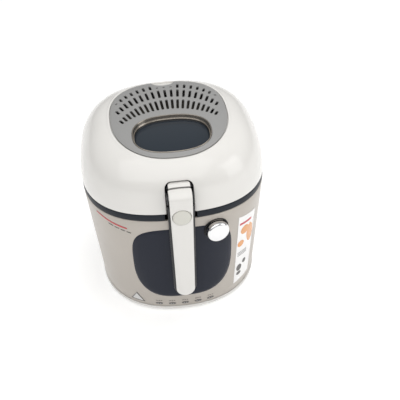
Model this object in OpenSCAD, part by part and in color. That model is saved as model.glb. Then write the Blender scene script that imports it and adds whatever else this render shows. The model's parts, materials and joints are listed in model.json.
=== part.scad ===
/* [Body] */
// Half the width of the casing at its top
half_w = 135; // [130:1:140]
// Half the depth of the casing at its top
half_d = 135; // [130:1:140]
// Squareness of the outline at the top: 2 is an ellipse, 4 is nearly square
square_top = 2.59; // [2.4:0.01:2.8]
// Squareness of the outline at the base
square_base = 2.26; // [2.2:0.01:2.5]
// Size of the casing's foot compared with its top
foot_scale = 0.92; // [0.9:0.01:0.95]
// Height of the white base band above the worktop
base_top = 11.3; // [10:0.1:13]
// Height of the casing's top edge
casing_top = 197.3; // [195:0.1:200]
// Height of the joint between ring and lid
lid_base = 208.7; // [207:0.1:211]

/* [Lid] */
// Height of the lid above the ring
lid_h = 84.4; // [80:0.1:88]
// How much of that height is the gentle crown on top
lid_crown = 12; // [8:1:16]
// Half width of the notch for the handle
notch_half_w = 19.5; // [19.5:0.1:22]
// Height of the top of the notch
notch_top = 256.6; // [256:0.1:260]

/* [Filter cover] */
// Half width of the lift-off cover
cover_half_w = 84; // [80:1:88]
// Reach of the cover towards the front
cover_front = 103; // [100:1:106]
// Reach of the cover towards the rear
cover_rear = 92; // [88:1:96]
// Half width of the window opening
window_half_w = 55; // [50:1:57]
// Half depth of the window opening
window_half_d = 39; // [35:1:40]
// Distance of the window's middle in front of the centre
window_mid = 56; // [54:1:58]
// Width of one steam slot
slot_w = 3.4; // [2.5:0.1:3.5]

/* [Basket and handle] */
// How far the basket goes down from the draining position
basket_drop = 24; // [20:1:25]
// Half width of the basket at its rim
basket_half_w = 95; // [90:1:95]
// Height of the handle's pivot
pivot_z = 238; // [236:0.5:239]
// Distance of the handle's pivot in front of the centre
pivot_out = 138; // [137.5:0.1:138.5]
// Radius of the handle's knuckle
knuckle_r = 12; // [11:0.1:12]
// Half width of the white handle at its top
handle_half_w = 16; // [14:0.5:16]
// Height of the handle's lower end
handle_bottom = 52; // [46:1:60]
// Radius of the round release button
button_r = 12.5; // [10:0.5:12.5]
// Height of the button's middle
button_z = 212; // [205:1:214]

/* [Control] */
// Sideways place of the thermostat knob
knob_x = 48.5; // [46:0.5:52]
// Distance of the knob's seat in front of the centre
knob_out = 129.3; // [129:0.1:130]
// Height of the knob's middle
knob_z = 170; // [166:1:172]
// Radius of the chrome knob
knob_r = 16.5; // [14:0.5:17.5]
// How far the knob faces away from straight ahead, in degrees
knob_turned = 13; // [10:1:16]
// Radius of the knob's shaft
shaft_r = 3; // [2.5:0.1:3.5]

/* [Hinge] */
// Distance of the lid's hinge behind the centre
hinge_back = 143; // [143:0.5:145]
// Height of the lid's hinge
hinge_z = 204; // [203:0.5:204]
// Outer radius of the hinge barrels
barrel_r = 7; // [6:0.5:7]
// Radius of the hinge pin
pin_r = 3; // [2.5:0.1:3.5]

/* [Hidden] */

$fn = 48;
sides = 48;              // corners of each rounded-square outline
gap = 0.3;               // clearance between bodies that move past each other
run = 0.05;              // radial clearance of a running fit
wall = 2.5;              // thickness of the plastic shells
sheet = 1;               // thickness of the pressed metal
ring_ledge_z = 203;      // the bowl's flange hangs on this ledge
ring_inner = 108.5;      // half width of the hole in the ring
bowl_top_w = 107;        // half width of the bowl under its flange
bowl_floor_z = 62;
shield_floor_z = 44;
base_floor_z = 4.5;
foot_z = 2;              // underside of the base plate
liner_z = 246;           // underside of the lid's inner plate
liner_w = 112;           // half width of the liner's drum
square_bowl = 2.6;
square_window = 2.5;
square_cover = 2.4;
arm_z = 228;             // underside of the basket's arm
arm_h = 12;
arm_half_w = 12;
ear_t = 2;               // thickness of the fork's ears beside the handle
ear_out = handle_half_w + gap + ear_t;
bezel_r = 18.4;          // radius of the seat round the knob
cap_z = 250;             // joint between the fork and its white cap
cap_half_w = 15;         // half width of the white cap and the fork's head
notch_r = 1;             // corner radius at the top of the lid's notch
fork_gap = 1.4;          // clearance between the handle's knuckle and the fork
slot_floor_z = pivot_z - knuckle_r - basket_drop - 0.6;   // floor of the arm's slot in the ring
plate_y = -97.5;         // front face of the basket's riser plate
basket_top = 188;
basket_floor = 96;
barrel_half = 36;        // half length of the lid's hinge barrel
spring_y = -146;         // the button's back face, where its spring starts
shell_t = 6;             // depth of the white handle shell
handle_t = 10.6;         // depth of the whole handle
mid_x = 85;              // screw places at the casing's corners
post_x = 58;             // place of the four support posts
lid_screw = 93;          // screw places in the lid's corners
mark_z = 18.5;           // height of the printed marks
print_t = 0.4;           // thickness of labels and prints

function signed_pow(v, e) = (v < 0 ? -1 : 1) * pow(abs(v), e);
// Rounded square whose corners fill out as n grows
function outline(hw, hd, n) = [for (i = [0:sides - 1]) let (t = 360 * i / sides)
    [hw * signed_pow(cos(t), 2 / n), hd * signed_pow(sin(t), 2 / n)]];
// Egg shape of the filter cover, grown by g
function cover_outline(g) = [for (i = [0:sides - 1]) let (t = 360 * i / sides,
    reach = (sin(t) < 0 ? cover_front : cover_rear) + g)
    [(cover_half_w + g) * signed_pow(cos(t), 2 / square_cover), reach * signed_pow(sin(t), 2 / square_cover)]];
// Outline of the dark front panel, grown by g: a soft square that narrows towards the bottom
function panel_outline(g) = [for (i = [0:sides - 1]) let (t = 360 * i / sides,
    u = signed_pow(cos(t), 0.5), v = signed_pow(sin(t), 0.5), narrow = 12 * pow(min(v, 0), 2))
    [(73 - narrow + g) * u, 108 + (73 + g) * v]];
// Share of the way up the casing at height z
function rise(z) = (z - base_top) / (casing_top - base_top);
function casing_scale(z) = foot_scale + (1 - foot_scale) * rise(z);
function casing_square(z) = square_base + (square_top - square_base) * rise(z);
// Height of the lid's surface at r, the share of the way from its middle to its edge
function dome_z(r, h) = lid_base + (h - lid_crown) * pow(1 - pow(r, 6), 1 / 2.2) + lid_crown * (1 - r * r);

// Closed solid through a stack of outlines, from the lowest to the highest
module loft(stack, heights) {
    n = len(stack[0]);
    top = len(stack) - 1;
    points = [for (k = [0:top]) for (p = stack[k]) [p[0], p[1], heights[k]]];
    walls = [for (k = [0:top - 1]) for (i = [0:n - 1]) let (a = k * n, j = (i + 1) % n)
        each [[a + i, a + n + i, a + n + j], [a + i, a + n + j, a + j]]];
    polyhedron(points, concat([[for (i = [0:n - 1]) i]], [[for (i = [n - 1:-1:0]) top * n + i]], walls), 8);
}

// The casing's outer form from z0 to z1, grown outwards by g
module casing_form(g, z0, z1, bands = 4) {
    heights = [for (k = [0:bands]) z0 + (z1 - z0) * k / bands];
    loft([for (z = heights) outline(half_w * casing_scale(z) + g, half_d * casing_scale(z) + g,
        casing_square(z))], heights);
}

// A skin on the casing between depths g0 and g1
module casing_skin(g0, g1, z0, z1, bands = 2) {
    difference() {
        casing_form(g1, z0, z1, bands);
        casing_form(g0, z0 - 1, z1 + 1, bands);
    }
}

// The lid's form, sunk inwards by g, with its skirt carried down by drop
module dome_form(g, drop = 0, from = 0) {
    shares = [for (r = [1, 0.99, 0.97, 0.94, 0.9, 0.84, 0.74, 0.6, 0.44, 0.25, 0.04]) if (from == 0 || r < from) r];
    rings = [for (r = shares) outline((half_w - g) * r, (half_d - g) * r, square_top)];
    heights = [for (r = shares) dome_z(r, lid_h - g)];
    loft(concat([rings[0]], rings), concat([heights[0] - drop - 1], [for (z = heights) z]));
}

// One eight-sided ring of a tube round stop k of its route, square to the way it runs there
function tube_ring(stops, k, r) = let (last = len(stops) - 1,
    way = stops[min(k + 1, last)] - stops[max(k - 1, 0)],
    side = cross(way, [0.31, 0.17, 0.23]), u = side / norm(side), v = cross(way, u) / norm(way))
    [for (a = [0:45:315]) stops[k] + r * (u * cos(a) + v * sin(a))];

module tube(stops, r) {
    points = [for (k = [0:len(stops) - 1]) each tube_ring(stops, k, r)];
    last = len(stops) - 1;
    walls = [for (k = [0:last - 1]) for (i = [0:7]) let (a = 8 * k, j = (i + 1) % 8)
        each [[a + i, a + 8 + i, a + 8 + j], [a + i, a + 8 + j, a + j]]];
    polyhedron(points, concat([[for (i = [0:7]) i]], [[for (i = [7:-1:0]) 8 * last + i]], walls), 4);
}

module plate(points, z0, z1) { translate([0, 0, z0]) linear_extrude(z1 - z0) polygon(points); }

module ring_plate(hw_out, hw_in, n, z0, z1) {
    difference() {
        plate(outline(hw_out, hw_out, n), z0, z1);
        plate(outline(hw_in, hw_in, n), z0 - 1, z1 + 1);
    }
}

// Turns an outline drawn in x and z to face the front, from y0 back to y1
module facing(points, y0, y1) {
    translate([0, y1, 0]) rotate([90, 0, 0]) linear_extrude(y1 - y0) polygon(points);
}

module box(x, y, z) { translate([x[0], y[0], z[0]]) cube([x[1] - x[0], y[1] - y[0], z[1] - z[0]]); }

module rod_y(x, z, y0, y1, r) { translate([x, y1, z]) rotate([90, 0, 0]) cylinder(h = y1 - y0, r = r); }

module rod_x(y, z, x0, x1, r) { translate([x0, y, z]) rotate([0, 90, 0]) cylinder(h = x1 - x0, r = r); }

module at_knob() {
    translate([knob_x, -knob_out, knob_z]) rotate([0, 0, knob_turned]) rotate([90, 0, 0]) children();
}

// Place of the lead's inlet on the rear wall, facing straight out of it
module at_inlet() { translate([45, 119.9, 30]) rotate([0, 0, -15.8]) rotate([-90, 0, 0]) children(); }

module corners(x, y) { for (sx = [-1, 1]) for (sy = [-1, 1]) translate([sx * x, sy * y, 0]) children(); }

// The way of the basket's fork and arm through the ring, the bowl's flange and the lid's lining
module arm_way(low, high, half) { box([-half, half], [-half_d - 5, -100], [low, high]); }

module base_plate() color("whitesmoke") {
    rings = [0.885, 0.915, 0.925, 0.925];
    steps = [foot_z, 4, 7, base_top];
    difference() {
        loft([for (s = rings) outline(half_w * s, half_d * s, square_base)], steps);
        loft([for (s = rings) outline(half_w * s - wall, half_d * s - wall, square_base)],
            [base_floor_z, 6, 8, base_top + 1]);
        corners(mid_x, mid_x) translate([0, 0, -1]) cylinder(h = 10, r = 2);
        corners(post_x, post_x) translate([0, 0, -1]) cylinder(h = 10, r = 2);
    }
}

module rubber_feet() color("dimgray") corners(72, 76) cylinder(h = foot_z, r = 9);

module outer_casing() color("tan") {
    difference() {
        union() {
            difference() {
                casing_form(0, base_top, casing_top);
                casing_form(-wall, base_top - 1, casing_top + 1);
            }
            corners(mid_x, mid_x) translate([0, 0, base_top]) cylinder(h = 16, r = 8);
        }
        corners(mid_x, mid_x) translate([0, 0, base_top - 1]) cylinder(h = 14, r = 1.8);
        intersection() {
            casing_skin(-1, 3, 20, casing_top + 2, 4);
            facing(panel_outline(gap), -150, -90);
        }
        at_knob() translate([0, 0, -8]) cylinder(h = 20, r = 5.3);
        at_inlet() translate([0, 0, -20]) cylinder(h = 40, r = 8.1);
        for (x = [-25, 25]) rod_y(x, 182, 125, 140, 1.8);
    }
}

module rim_ring() color("darkslategray") difference() {
    union() {
        ring_plate(half_w, half_w - 7, square_top, casing_top, lid_base - gap);
        ring_plate(half_w - 6, ring_inner, square_top, casing_top, ring_ledge_z);
    }
    arm_way(slot_floor_z, lid_base + 1, notch_half_w);
}

module front_panel() color("midnightblue") difference() {
    intersection() {
        casing_skin(-0.8, 1, 30, 190, 4);
        facing(panel_outline(0), -150, -90);
    }
    at_knob() translate([0, 0, -8]) cylinder(h = 30, r = bezel_r + gap);
}

module knob_bezel() color("black") at_knob() difference() {
    translate([0, 0, -0.4]) cylinder(h = 3, r = bezel_r);
    translate([0, 0, -1]) cylinder(h = 10, r = 5.3);
    translate([0, 0, 1]) cylinder(h = 10, r = knob_r + 0.6);
    rotate([-90, 0, 0]) rotate([0, 0, -knob_turned]) translate([-knob_x, knob_out, -knob_z])
        casing_form(0.05, 140, casing_top, 2);
}

// A print on the casing's front left or right, cut from its skin by an outline
module casing_print(points) {
    intersection() {
        casing_skin(0.02, print_t, base_top + 1, casing_top - 1, 3);
        facing(points, -150, -40);
    }
}

module accent_stripe() color("firebrick") casing_print([[-117, 188], [-75, 177], [-75, 180], [-117, 191.5]]);

module side_label() color("white") casing_print([[84, 172], [113, 164], [105, 29], [78, 26]]);

module label_blocks() color("orange") intersection() {
    casing_skin(print_t + 0.02, 0.8, base_top + 1, casing_top - 1, 3);
    facing(concat([for (a = [0:15:359]) [97 + 9 * cos(a), 125 + 17 * sin(a)]]), -150, -40);
}

module guide_marks() color("gray") for (x = [-41, -21, -1, 19, 39])
    casing_print([for (a = [0:20:359]) [x + 5.5 * cos(a), mark_z + 2 * sin(a)]]);

module warning_triangle() color("silver") casing_print([[-83, mark_z], [-63, mark_z], [-74, mark_z + 18]]);

// Half widths of the bowl from its floor to its flange, with the heights they belong to
bowl_widths = [80, 88, 94, 96.5, bowl_top_w];
bowl_heights = [bowl_floor_z, 64, 70, 80, ring_ledge_z + 0.5];

module bowl() color("dimgray") difference() {
    union() {
        loft([for (w = bowl_widths) outline(w, w, square_bowl)], bowl_heights);
        plate(outline(half_w - 7.5, half_w - 7.5, square_top), ring_ledge_z, ring_ledge_z + 1.5);
    }
    loft([for (w = bowl_widths) outline(w - 1.5, w - 1.5, square_bowl)],
        [for (z = bowl_heights) z + (z > ring_ledge_z ? 3 : 1.5)]);
    arm_way(slot_floor_z, lid_base + 1, notch_half_w);
}

module heat_shield() color("silver") difference() {
    loft([outline(104, 104, square_bowl), outline(110.5, 110.5, square_bowl)], [shield_floor_z, 192]);
    loft([outline(103, 103, square_bowl), outline(109.7, 109.7, square_bowl)], [shield_floor_z + sheet, 193]);
    for (a = [110, 70]) rotate(a) translate([62, 0, 0]) cylinder(h = 60, r = 5.5);
    translate([40, -30, 40]) cylinder(h = 10, r = 2);
}

module heating_element() color("gray") {
    rotate(110) translate([0, 0, 56]) rotate_extrude(angle = 320) translate([62, 0]) circle(r = 4);
    for (a = [110, 70]) rotate(a) translate([62, 0, 34]) cylinder(h = 22, r = 4);
}

module heat_spreader() color("silver") translate([0, 0, 60]) cylinder(h = 2, r = 76);

module element_clamp() color("slategray") {
    for (x = [-62, 62]) box([x - 7, x + 7], [-8, 8], [shield_floor_z + sheet, 52]);
    box([-60, 60], [-8, 8], [shield_floor_z + sheet, 48]);
}

module support_posts() color("slategray") corners(post_x, post_x) difference() {
    translate([0, 0, base_floor_z]) cylinder(h = shield_floor_z - base_floor_z, r = 6);
    cylinder(h = 24, r = 1.8);
}

module thermostat() color("black") at_knob() {
    translate([-15, -15, -19.5]) cube([30, 30, 14]);
    difference() {
        translate([0, 0, -5.6]) cylinder(h = 6, r = 5);
        translate([0, 0, -4]) cylinder(h = 8, r = shaft_r + run);
    }
}

module sensor_bulb() color("peru") rod_y(40, 56, -30, 20, 3);

module capillary_tube() color("peru")
    tube([[46, -118, 154], [46, -113, 145], [46, -111, 38], [40, -30, 36], [40, -30, 53]], 1.2);

module thermal_fuse() color("white") rod_y(-35, 57, -12, 12, 3);

module terminal_block() color("ivory") box([-18, 22], [74, 94], [base_floor_z, 20]);

module internal_wires() color("firebrick") {
    tube([[-10, 84, 20.2], [-10, 84, 28], [-21.2, 58.3, 28], [-21.2, 58.3, 34]], 1.5);
    tube([[14, 84, 20.2], [14, 84, 28], [21.2, 58.3, 28], [21.2, 58.3, 34]], 1.5);
    tube([[22.6, 88, 12], [33, 92, 14], [40, 101, 28], [41.2, 106, 30]], 1.5);
}

module power_inlet() color("black") at_inlet() difference() {
    union() {
        translate([0, 0, -14]) cylinder(h = 20, r = 8);
        translate([0, 0, 1]) cylinder(h = 3, r = 11);
    }
    translate([0, 0, -15]) cylinder(h = 30, r = 3.5);
}

module screw(head_r, shank_r, length) {
    cylinder(h = 1, r = head_r);
    translate([0, 0, 1]) cylinder(h = length, r = shank_r);
}

module base_screws() color("gray") corners(post_x, post_x) translate([0, 0, foot_z - 1]) screw(3.5, 1.8, 20);

module casing_screws() color("gray") corners(mid_x, mid_x) translate([0, 0, foot_z - 1]) screw(3, 1.8, 20);

module hinge_bracket() color("darkslategray") difference() {
    union() {
        box([-52, 52], [135.1, 137.4], [166, 195]);
        for (x = [-43.5, 43.5]) {
            rod_x(hinge_back, hinge_z, x - 6, x + 6, barrel_r);
            box([x - 6, x + 6], [135.1, hinge_back + 4], [184, hinge_z]);
        }
    }
    rod_x(hinge_back, hinge_z, -60, 60, pin_r);
    for (x = [-25, 25]) rod_y(x, 182, 120, 140, 1.8);
}

module hinge_pin() color("silver") rod_x(hinge_back, hinge_z, -51, 51, pin_r);

module hinge_screws() color("gray") for (x = [-25, 25]) {
    rod_y(x, 182, 124, 138, 1.75);
    rod_y(x, 182, 137.4, 139, 4);
}

// The cut that clears the handle, with round top corners
module notch_cut(half, top, y1) {
    facing(concat([[-half, 190], [half, 190]],
        [for (a = [0:30:90]) [half + notch_r * (cos(a) - 1), top + notch_r * (sin(a) - 1)]],
        [for (a = [90:30:180]) [notch_r * (cos(a) + 1) - half, top + notch_r * (sin(a) - 1)]]), -170, y1);
}

module lid_shell() color("white") difference() {
    union() {
        difference() {
            dome_form(0);
            dome_form(wall, 5);
            plate(cover_outline(0.4), lid_base + 40, 310);
        }
        intersection() {
            difference() {
                dome_form(2.4, 0, 0.9);
                dome_form(4.9, 5, 0.9);
            }
            difference() {
                plate(cover_outline(4), lid_base + 40, 310);
                plate(cover_outline(-7), lid_base, 320);
            }
        }
        intersection() {
            corners(lid_screw, lid_screw) translate([0, 0, lid_base + 5]) cylinder(h = 60, r = 5);
            dome_form(1);
        }
    }
    box([-150, 150], [-150, 150], [lid_base - 10, lid_base]);
    corners(lid_screw, lid_screw) translate([0, 0, lid_base]) cylinder(h = 20, r = 1.8);
    notch_cut(notch_half_w, notch_top, -105);
}

module lid_liner() color("silver") difference() {
    union() {
        ring_plate(liner_w, liner_w - sheet, square_top, lid_base + 4.5, liner_z + sheet);
        plate(outline(liner_w, liner_w, square_top), liner_z, liner_z + sheet);
        ring_plate(half_w - 3.4, liner_w - sheet, square_top, lid_base + 3.5, lid_base + 4.5);
    }
    plate([for (p = outline(46, 30, square_window)) p + [0, -window_mid]], liner_z - 1, liner_z + 5);
    for (x = [-40:16:40]) box([x - 4, x + 4], [8, 66], [liner_z - 1, liner_z + 5]);
    arm_way(lid_base, liner_z - 3, notch_half_w);
    box([-22, 22], [-140, -liner_w + 3], [lid_base, 260]);
    corners(lid_screw, lid_screw) translate([0, 0, lid_base]) cylinder(h = 20, r = 2);
}

module lid_gasket() color("dimgray") difference() {
    ring_plate(liner_w, liner_w - 5, square_top, ring_ledge_z + 1.5 + gap, lid_base + 3.5);
    arm_way(lid_base - 10, lid_base + 10, notch_half_w + 1);
}

// The window's tilted place: it leans forward with the crown of the lid
module at_window(depth) {
    translate([0, -window_mid, dome_z(0.42, lid_h) - depth]) rotate([7, 0, 0]) children();
}

module window_glass() color("slategray", 0.6) at_window(9)
    linear_extrude(3) polygon(outline(window_half_w - 3.6, window_half_d - 4.2, square_window));

module window_frame() color("darkgray") intersection() {
    dome_form(-0.8, 0, 0.9);
    translate([0, -window_mid, liner_z + sheet]) linear_extrude(70) difference() {
        polygon(outline(window_half_w, window_half_d, square_window));
        polygon(outline(window_half_w - 3, window_half_d - 3, square_window));
    }
}

module inner_glass() color("lightblue", 0.6) translate([0, -window_mid, liner_z + sheet])
    linear_extrude(3) polygon(outline(window_half_w - 4, window_half_d - 4, square_window));

module filter_tray() color("gray") difference() {
    box([-66, 66], [-12, 76], [liner_z + sheet, liner_z + 16]);
    box([-64.5, 64.5], [-10.5, 74.5], [liner_z + 6, liner_z + 20]);
    box([-60, 60], [-8, 72], [liner_z, liner_z + 4.5]);
    for (x = [-56:8:56]) box([x - 2, x + 2], [-5, 69], [liner_z, liner_z + 8]);
}

module grease_filter() color("darkgray") box([-64, 64], [-10, 74], [liner_z + 6, liner_z + 15]);

module hinge_barrel() color("white") difference() {
    union() {
        rod_x(hinge_back, hinge_z, -barrel_half, barrel_half, barrel_r);
        box([-barrel_half, barrel_half], [half_d + 0.3, hinge_back], [hinge_z, lid_base + 8]);
    }
    rod_x(hinge_back, hinge_z, -60, 60, pin_r + run);
}

module lid_screws() color("gray")
    corners(lid_screw, lid_screw) translate([0, 0, lid_base + 2.5]) screw(3.5, 1.8, 12);

// Rows of steam slots on rays from fan_y: last column, radius in the middle, its drop to the sides, length
fan_y = -149;
fan_step = 2.75;
slot_rows = [[10, 160.5, 0.14, 27], [9, 193.5, 0.26, 24.5], [8, 219, 0.36, 15.6]];

module steam_slots() translate([0, fan_y, 240]) for (row = slot_rows) for (k = [-row[0]:row[0]]) {
    at_end = row[0] == 8 && abs(k) == 8;
    under_notch = row[0] == 8 && abs(k) < 2;
    length = at_end || under_notch ? slot_w + 0.6 : row[3] - 0.16 * k * k;
    radius = row[1] - row[2] * k * k - (under_notch ? 4 : 0);
    rotate(-fan_step * k) translate([-slot_w / 2, radius - length / 2, 0]) cube([slot_w, length, 70]);
}

module filter_cover() color("darkgray") difference() {
    intersection() {
        difference() {
            dome_form(-0.3, 0, 0.9);
            dome_form(2, 5, 0.9);
        }
        plate(cover_outline(-gap), lid_base, 310);
    }
    opening = outline(window_half_w + 0.5, window_half_d + 0.5, square_window);
    plate([for (p = opening) p + [0, -window_mid]], 230, 310);
    translate([0, 90, 230]) cylinder(h = 80, r = 17);
    steam_slots();
}

module basket() color("silver") difference() {
    loft([outline(84, 84, square_bowl), outline(basket_half_w, basket_half_w, square_bowl)],
        [basket_floor, basket_top]);
    loft([outline(82, 82, square_bowl), outline(basket_half_w - 2, basket_half_w - 2, square_bowl)],
        [basket_floor + 2, basket_top + 1]);
    for (x = [-7, 7]) rod_y(x, 178, -110, -80, 2);
}

module basket_rim() color("silver")
    ring_plate(basket_half_w + 0.3, basket_half_w - 3.5, square_bowl, basket_top, basket_top + 4);

module basket_bracket() color("black") difference() {
    union() {
        box([-arm_half_w, arm_half_w], [plate_y, plate_y + 2], [165, arm_z + arm_h]);
        box([-arm_half_w, arm_half_w], [-122, plate_y + 2], [arm_z, arm_z + arm_h]);
        box([-ear_out, ear_out], [-125.4, -120], [arm_z, arm_z + arm_h]);
        box([-cap_half_w, cap_half_w], [-125.4, -121], [arm_z, cap_z - 2]);
        box([-cap_half_w, cap_half_w], [-130.8, -121], [cap_z - 3, cap_z]);
        for (x = [-ear_out, ear_out - ear_t]) {
            rod_x(-pivot_out, pivot_z, x, x + ear_t, 8);
            box([x, x + ear_t], [-pivot_out, -120], [pivot_z - 8, pivot_z + 2]);
        }
    }
    rod_x(-pivot_out, pivot_z, -handle_half_w - gap, handle_half_w + gap, knuckle_r + fork_gap);
    rod_x(-pivot_out, pivot_z, -30, 30, pin_r);
    for (x = [-7, 7]) rod_y(x, 178, -110, -80, 2);
}

// White cap over the fork, flush with the top of the handle
module handle_cap() color("white") difference() {
    rotate([90, 0, 90]) translate([0, 0, -cap_half_w]) linear_extrude(2 * cap_half_w)
        polygon([[-121, cap_z], [-121, 254.8], [-124, 254.8], [-127, 254.2], [-129.4, 253], [-131, 251.4],
            [-131.6, cap_z]]);
    rod_x(-pivot_out, pivot_z, -30, 30, knuckle_r + fork_gap);
}

module bracket_rivets() color("gray") for (x = [-7, 7]) {
    rod_y(x, 178, plate_y - 1.2, plate_y, 3.2);
    rod_y(x, 178, plate_y, plate_y + 7, 2);
}

module handle_pivot() color("silver") rod_x(-pivot_out, pivot_z, -ear_out, ear_out, pin_r);

// Front view of the handle, grown by g: nearly straight sides and a round lower end
function handle_front(g) = let (r = handle_half_w - 2 + g, low = handle_bottom - g)
    concat([[handle_half_w + g, pivot_z + 20], [-handle_half_w - g, pivot_z + 20]],
        [for (a = [180:15:360]) [r * cos(a), low + r + r * sin(a)]]);

// Front-to-back place of the handle's outer face at height z
function face_y(z) = -149.4 + 8.4 * (pivot_z - z) / (pivot_z - handle_bottom);

// Side view of a layer of the handle between two depths, below height top
module handle_layer(near, far, top, half) {
    rotate([90, 0, 90]) translate([0, 0, -half]) linear_extrude(2 * half)
        polygon([[face_y(top) + near, top], [face_y(0) + near, 0], [face_y(0) + far, 0],
            [face_y(top) + far, top]]);
}

module handle_shell() color("white") difference() {
    union() {
        intersection() {
            handle_layer(0, shell_t, pivot_z, 20);
            facing(handle_front(0), -170, -100);
        }
        rod_x(-pivot_out, pivot_z, -handle_half_w, handle_half_w, knuckle_r);
    }
    rod_x(-pivot_out, pivot_z, -30, 30, pin_r + run);
    rod_y(0, button_z, -160, -130, button_r + gap);
}

module handle_core() color("black") difference() {
    intersection() {
        handle_layer(shell_t, handle_t, pivot_z - knuckle_r, 20);
        facing(handle_front(1.7), -170, -100);
    }
    rod_y(0, button_z, -160, -139, button_r + gap);
}

module button_spring() color("gray") difference() {
    rod_y(0, button_z, spring_y, -139, 4);
    rod_y(0, button_z, spring_y - 1, -138, 3);
}

module handle_button() color("gainsboro") rod_y(0, button_z, -150, spring_y, button_r);

module knob_cap() color("lightgray") at_knob() difference() {
    intersection() {
        translate([0, 0, 2]) cylinder(h = 13, r = knob_r);
        translate([0, 0, -45.5]) sphere(r = 60, $fn = 96);
    }
    translate([0, 0, 1]) cylinder(h = 8.5, r = 9.05);
}

module knob_hub() color("dimgray") at_knob() difference() {
    translate([0, 0, 2]) cylinder(h = 7.4, r = 9);
    translate([0, 0, 1]) cylinder(h = 7, r = shaft_r);
}

module knob_shaft() color("silver") at_knob() translate([0, 0, -3.8]) cylinder(h = 11.8, r = shaft_r);

base_plate();
rubber_feet();
outer_casing();
rim_ring();
front_panel();
knob_bezel();
accent_stripe();
side_label();
label_blocks();
guide_marks();
warning_triangle();
bowl();
heat_shield();
heating_element();
heat_spreader();
element_clamp();
support_posts();
thermostat();
sensor_bulb();
capillary_tube();
thermal_fuse();
terminal_block();
internal_wires();
power_inlet();
base_screws();
casing_screws();
hinge_bracket();
hinge_pin();
hinge_screws();
lid_shell();
lid_liner();
lid_gasket();
window_glass();
window_frame();
inner_glass();
filter_tray();
grease_filter();
hinge_barrel();
lid_screws();
filter_cover();
basket();
basket_rim();
basket_bracket();
handle_cap();
bracket_rivets();
handle_pivot();
handle_shell();
handle_core();
button_spring();
handle_button();
knob_cap();
knob_hub();
knob_shaft();
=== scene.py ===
import json
import math
import bpy
import bmesh
import numpy as np
from mathutils import Matrix, Vector
from mathutils.geometry import delaunay_2d_cdt
from mathutils.kdtree import KDTree


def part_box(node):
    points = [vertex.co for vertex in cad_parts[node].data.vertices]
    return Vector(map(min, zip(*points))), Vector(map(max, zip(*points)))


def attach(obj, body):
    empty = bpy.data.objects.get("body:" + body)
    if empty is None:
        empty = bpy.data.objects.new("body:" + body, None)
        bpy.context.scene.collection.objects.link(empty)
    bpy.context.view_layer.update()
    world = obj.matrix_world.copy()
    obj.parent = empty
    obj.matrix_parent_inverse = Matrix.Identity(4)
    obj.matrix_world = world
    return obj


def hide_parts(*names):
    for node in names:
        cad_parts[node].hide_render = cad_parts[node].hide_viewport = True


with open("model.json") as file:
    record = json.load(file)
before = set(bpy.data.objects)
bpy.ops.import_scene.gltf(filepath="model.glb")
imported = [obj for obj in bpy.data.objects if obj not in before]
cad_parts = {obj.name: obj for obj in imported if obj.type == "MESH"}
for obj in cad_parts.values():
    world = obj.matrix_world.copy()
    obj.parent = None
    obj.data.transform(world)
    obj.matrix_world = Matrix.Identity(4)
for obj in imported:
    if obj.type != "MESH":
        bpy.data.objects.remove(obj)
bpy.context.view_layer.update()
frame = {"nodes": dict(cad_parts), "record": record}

# --- sizes, in metres, from the frame where it has them
MM = 0.001
casing_low, casing_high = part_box("outer_casing")
ring_low, ring_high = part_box("rim_ring")
LID_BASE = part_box("lid_shell")[0].z
handle_low, handle_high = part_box("handle_shell")
pin_low, pin_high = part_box("handle_pivot")
cover_low, cover_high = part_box("filter_cover")
frame_low, frame_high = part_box("window_frame")

HALF = casing_high.x                # half width and half depth at the top of the casing
SQUARE_TOP = 2.59                   # exponent of the rounded-square outline at the top
SQUARE_BASE = 2.26                  # the same at the foot
SQUARE_BOWL = 2.6                   # the same for the bowl and the basket
FOOT_SCALE = 0.92                   # width at the foot as a share of the width at the top
BASE_TOP = casing_low.z
CASING_TOP = casing_high.z
LEDGE_Z = 203 * MM                  # the bowl's flange hangs on this ledge of the ring
LID_H = 84.4 * MM                   # height of the lid's form
LID_CROWN = 12 * MM                 # part of that height that is spread over the whole top
COVER_HALF_W = cover_high.x + 0.3 * MM
COVER_FRONT = -cover_low.y + 0.3 * MM
COVER_REAR = 92 * MM
COVER_SQUARE = 2.4                  # exponent of the filter cover's outline
WINDOW_W = frame_high.x
WINDOW_D = (frame_high.y - frame_low.y) / 2
WINDOW_Y = (frame_high.y + frame_low.y) / 2
WINDOW_SQUARE = 2.5                 # exponent of the window's outline
NOTCH_W = 19.5 * MM                 # half width of the lid's notch for the handle
NOTCH_TOP = 256.6 * MM
NOTCH_R = 9 * MM                    # radius of the notch's top corners
PIVOT = (pin_low + pin_high) / 2
KNUCKLE_R = PIVOT.y - handle_low.y
HANDLE_W = handle_high.x
HANDLE_BOTTOM = handle_low.z
BUTTON = (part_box("handle_button")[0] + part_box("handle_button")[1]) / 2
BUTTON_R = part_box("handle_button")[1].x
KNOB_TURN = math.radians(13)
KNOB = Vector((48.5, -129.3, 170)) * MM  # middle of the knob's seat
KNOB_R = 16.5 * MM
SLOT_HALF = 1.85 * MM               # half width of a steam slot
FAN_FOCUS = -149 * MM               # the slots fan out from this place in front of the middle
FAN_STEP = math.radians(2.75)       # angle between two columns of slots
FAN_ROWS = (                        # last column, radius in the middle, its drop, length, its loss; in mm
    (10, 160.5, 0.14, 27, 0.16),
    (9, 193.5, 0.26, 24.5, 0.16),
    (8, 219, 0.36, 15.6, 0.1),
)
PRINT = 0.45 * MM                   # how far labels and prints stand off the casing


# --- shape formulas
def in_mm(pairs):
    return [(a * MM, b * MM) for a, b in pairs]


def signed_pow(v, e):
    return np.sign(v) * np.abs(v) ** e


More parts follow.
